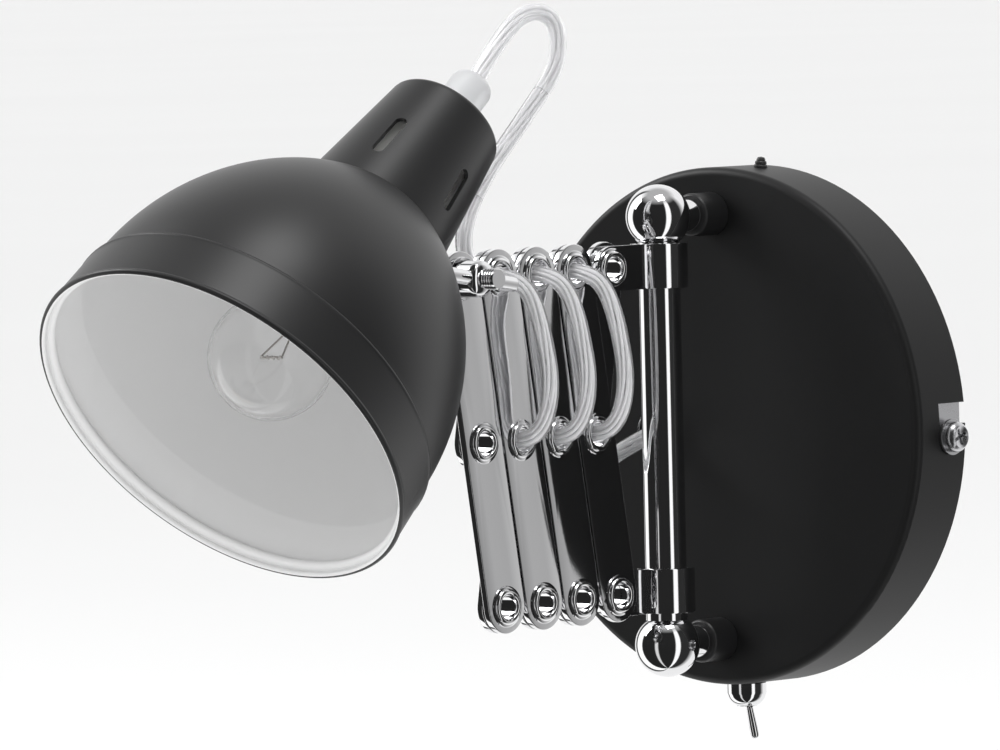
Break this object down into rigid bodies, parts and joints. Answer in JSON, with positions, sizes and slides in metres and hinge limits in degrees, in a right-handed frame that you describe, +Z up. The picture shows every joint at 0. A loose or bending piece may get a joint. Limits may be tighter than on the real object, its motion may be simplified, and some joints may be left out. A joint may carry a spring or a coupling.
{
  "type": "swing arm wall sconce",
  "caption": "Wall lamp with a bell-shaped shade on a chrome scissor arm that opens out, swings on an upright rod and folds back against a round wall canopy.",
  "frame": {"origin": "centre of the wall canopy's back plane", "axes": "+Y into the wall, -Y out into the room along the folded arm, +Z up, +X to the right seen from the room"},
  "size_m": [0.1564, 0.2782, 0.2161],
  "materials": {
    "black_paint": "matt black stoving paint, white inside the shade",
    "chrome": "polished chrome plate",
    "zinc_steel": "bright zinc plate",
    "brass": "plain",
    "black_plastic": "satin",
    "white_plastic": "satin",
    "clear_plastic": "clear, with two cores showing",
    "bulb_glass": "clear",
    "filament": "drawn wire"
  },
  "bodies": {
    "base": {"wall_canopy": "black_paint", "mounting_bracket": "zinc_steel", "rim_screws": "zinc_steel", "terminal_block": "white_plastic", "terminal_screws": "zinc_steel", "rod_tube": "chrome", "rod_balls": "chrome", "post_necks": "chrome", "wall_posts": "black_paint", "post_screws": "zinc_steel", "ball_grub_screw": "zinc_steel", "toggle_case": "black_plastic", "toggle_inner_nut": "zinc_steel", "toggle_dome_nut": "chrome", "entry_plug": "black_plastic", "cable_bush": "clear_plastic", "cable_inlet": "clear_plastic"},
    "toggle": {"toggle_lever": "chrome"},
    "swing": {"upper_collar": "chrome", "collar_rivet": "chrome"},
    "slider": {"lower_collar": "chrome", "lower_collar_rivet": "chrome"},
    "knuckle": {"head_knuckle": "chrome", "head_washer": "chrome", "head_pivot_pin": "chrome", "head_clamp_nut": "chrome", "clamp_stud": "chrome"},
    "head": {"stem_bar": "chrome", "stem_locknut": "chrome", "shade_dome": "black_paint", "shade_neck": "black_paint", "lampholder": "white_plastic", "holder_socket": "brass", "holder_ring": "white_plastic", "cord_grip": "clear_plastic", "grip_nut": "clear_plastic", "bulb_cap": "zinc_steel", "bulb_glass": "bulb_glass", "bulb_mount": "filament", "cable_loop": "clear_plastic"},
    "back_0": {"back_link_0": "chrome", "cable_slack": "clear_plastic"},
    "front_0": {"front_link_0": "chrome", "link_rivets_0": "chrome", "cable_front_0": "clear_plastic"},
    "back_1": {"back_link_1": "chrome", "cable_back_1": "clear_plastic"},
    "front_1": {"front_link_1": "chrome", "link_rivets_1": "chrome", "cable_front_1": "clear_plastic"},
    "back_2": {"back_link_2": "chrome", "cable_back_2": "clear_plastic"},
    "front_2": {"front_link_2": "chrome", "link_rivets_2": "chrome", "cable_front_2": "clear_plastic"},
    "back_3": {"back_link_3": "chrome", "cable_rise": "clear_plastic"},
    "front_3": {"front_link_3": "chrome", "link_rivets_3": "chrome", "cable_climb": "clear_plastic"}
  },
  "joints": [
    {"name": "arm_swing", "type": "hinge", "parent": "base", "child": "swing", "pos_m": [0, -0.0454, 0], "axis": [0, 0, 1], "range_deg": [-80, 80], "deforming": ["cable_inlet"]},
    {"name": "arm_extend", "type": "hinge", "parent": "swing", "child": "back_0", "pos_m": [0, -0.0687, 0.0477], "axis": [-1, 0, 0], "range_deg": [0, 42], "deforming": ["cable_slack"]},
    {"name": "collar_slide", "type": "slide", "parent": "swing", "child": "slider", "axis": [0, 0, 1], "range_m": [0, 0.03511]},
    {"name": "fold_middle_0", "type": "hinge", "parent": "back_0", "child": "front_0", "pos_m": [0, -0.07684, 0.00095], "axis": [1, 0, 0], "range_deg": [0, 84]},
    {"name": "fold_upper_1", "type": "hinge", "parent": "front_0", "child": "back_1", "pos_m": [0, -0.08498, 0.0477], "axis": [-1, 0, 0], "range_deg": [0, 84]},
    {"name": "fold_middle_1", "type": "hinge", "parent": "back_1", "child": "front_1", "pos_m": [0, -0.09312, 0.00095], "axis": [1, 0, 0], "range_deg": [0, 84]},
    {"name": "fold_upper_2", "type": "hinge", "parent": "front_1", "child": "back_2", "pos_m": [0, -0.10127, 0.0477], "axis": [-1, 0, 0], "range_deg": [0, 84]},
    {"name": "fold_middle_2", "type": "hinge", "parent": "back_2", "child": "front_2", "pos_m": [0, -0.10941, 0.00095], "axis": [1, 0, 0], "range_deg": [0, 84]},
    {"name": "fold_upper_3", "type": "hinge", "parent": "front_2", "child": "back_3", "pos_m": [0, -0.11755, 0.0477], "axis": [-1, 0, 0], "range_deg": [0, 84]},
    {"name": "fold_middle_3", "type": "hinge", "parent": "back_3", "child": "front_3", "pos_m": [0, -0.12569, 0.00095], "axis": [1, 0, 0], "range_deg": [0, 84], "deforming": ["cable_rise"]},
    {"name": "head_tilt", "type": "hinge", "parent": "front_3", "child": "knuckle", "pos_m": [0, -0.13383, 0.0477], "axis": [-1, 0, 0], "range_deg": [-15, 30], "deforming": ["cable_climb"]},
    {"name": "head_turn", "type": "hinge", "parent": "knuckle", "child": "head", "pos_m": [0.0085, -0.13383, 0.0477], "axis": [0, -0.989, 0.1478], "range_deg": [-45, 45], "deforming": ["cable_loop"]},
    {"name": "toggle_rock", "type": "hinge", "parent": "base", "child": "toggle", "pos_m": [0, -0.0104, -0.0782], "axis": [0, 1, 0], "range_deg": [0, 26]}
  ],
  "couplings": [
    {"joint": "collar_slide", "follows": "arm_extend", "m_per_rad": 0.047623},
    {"joint": "fold_middle_0", "follows": "arm_extend", "ratio": 2},
    {"joint": "fold_upper_1", "follows": "arm_extend", "ratio": 2},
    {"joint": "fold_middle_1", "follows": "arm_extend", "ratio": 2},
    {"joint": "fold_upper_2", "follows": "arm_extend", "ratio": 2},
    {"joint": "fold_middle_2", "follows": "arm_extend", "ratio": 2},
    {"joint": "fold_upper_3", "follows": "arm_extend", "ratio": 2},
    {"joint": "fold_middle_3", "follows": "arm_extend", "ratio": 2}
  ]
}
